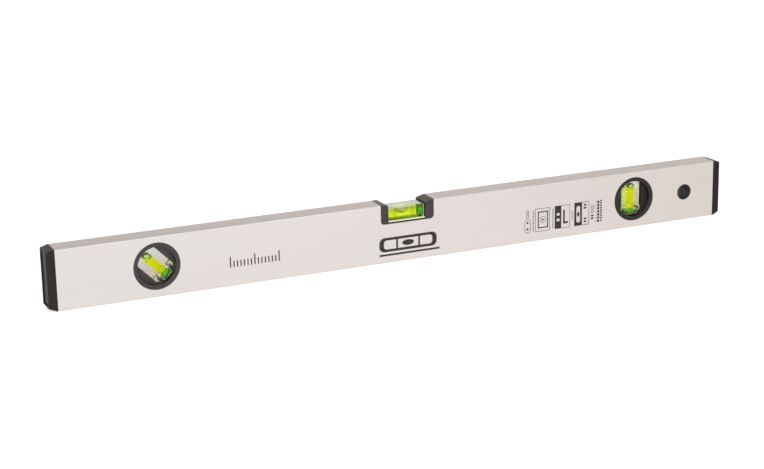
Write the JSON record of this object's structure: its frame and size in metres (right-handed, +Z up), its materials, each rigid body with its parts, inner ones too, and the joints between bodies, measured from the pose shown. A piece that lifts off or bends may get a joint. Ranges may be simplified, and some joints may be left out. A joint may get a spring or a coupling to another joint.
{
  "type": "spirit level",
  "caption": "Box-section aluminium spirit level with a top-read level vial, an angled vial, a plumb vial, end caps and a hanging hole.",
  "frame": {"origin": "under the middle of the level, on the plane of its lower measuring face", "axes": "+X along the level towards the end with the hanging hole, +Y to its back, +Z up"},
  "size_m": [0.6, 0.019, 0.049],
  "materials": {
    "aluminium": "satin silver anodised extrusion with a fine lengthwise grain",
    "black_plastic": "moulded black plastic with a slight sheen",
    "clear_acrylic": "polished clear acrylic",
    "vial_liquid": "clear fluorescent yellow-green liquid",
    "air_bubble": "air bubble in liquid",
    "ring_mark": "thin dark ring mark",
    "vial_plug": "green plug sealing the vial"
  },
  "bodies": {
    "level_body": {"profile": "aluminium", "end_cap_left": "black_plastic", "end_cap_right": "black_plastic", "hanging_sleeve": "black_plastic", "level_holder": "black_plastic", "angle_housing_front": "black_plastic", "angle_housing_rear": "black_plastic", "plumb_housing_front": "black_plastic", "plumb_housing_rear": "black_plastic", "level_vial_block": "clear_acrylic", "angle_vial_block": "clear_acrylic", "plumb_vial_block": "clear_acrylic", "level_vial_liquid": "vial_liquid", "angle_vial_liquid": "vial_liquid", "plumb_vial_liquid": "vial_liquid", "level_ring_left": "ring_mark", "level_ring_right": "ring_mark", "angle_ring_upper": "ring_mark", "angle_ring_lower": "ring_mark", "plumb_ring_upper": "ring_mark", "plumb_ring_lower": "ring_mark", "level_vial_plug": "vial_plug", "angle_vial_plug": "vial_plug", "plumb_vial_plug": "vial_plug"},
    "level_bubble_air": {"level_bubble": "air_bubble"},
    "angle_bubble_air": {"angle_bubble": "air_bubble"},
    "plumb_bubble_air": {"plumb_bubble": "air_bubble"}
  },
  "joints": [
    {"name": "level_bubble_slide", "type": "slide", "parent": "level_body", "child": "level_bubble_air", "axis": [1, 0, 0], "range_m": [-0.0034, 0.0084]},
    {"name": "angle_bubble_slide", "type": "slide", "parent": "level_body", "child": "angle_bubble_air", "axis": [0.7071, 0, -0.7071], "range_m": [0, 0.016]},
    {"name": "plumb_bubble_slide", "type": "slide", "parent": "level_body", "child": "plumb_bubble_air", "axis": [0, 0, -1], "range_m": [0, 0.016]}
  ]
}
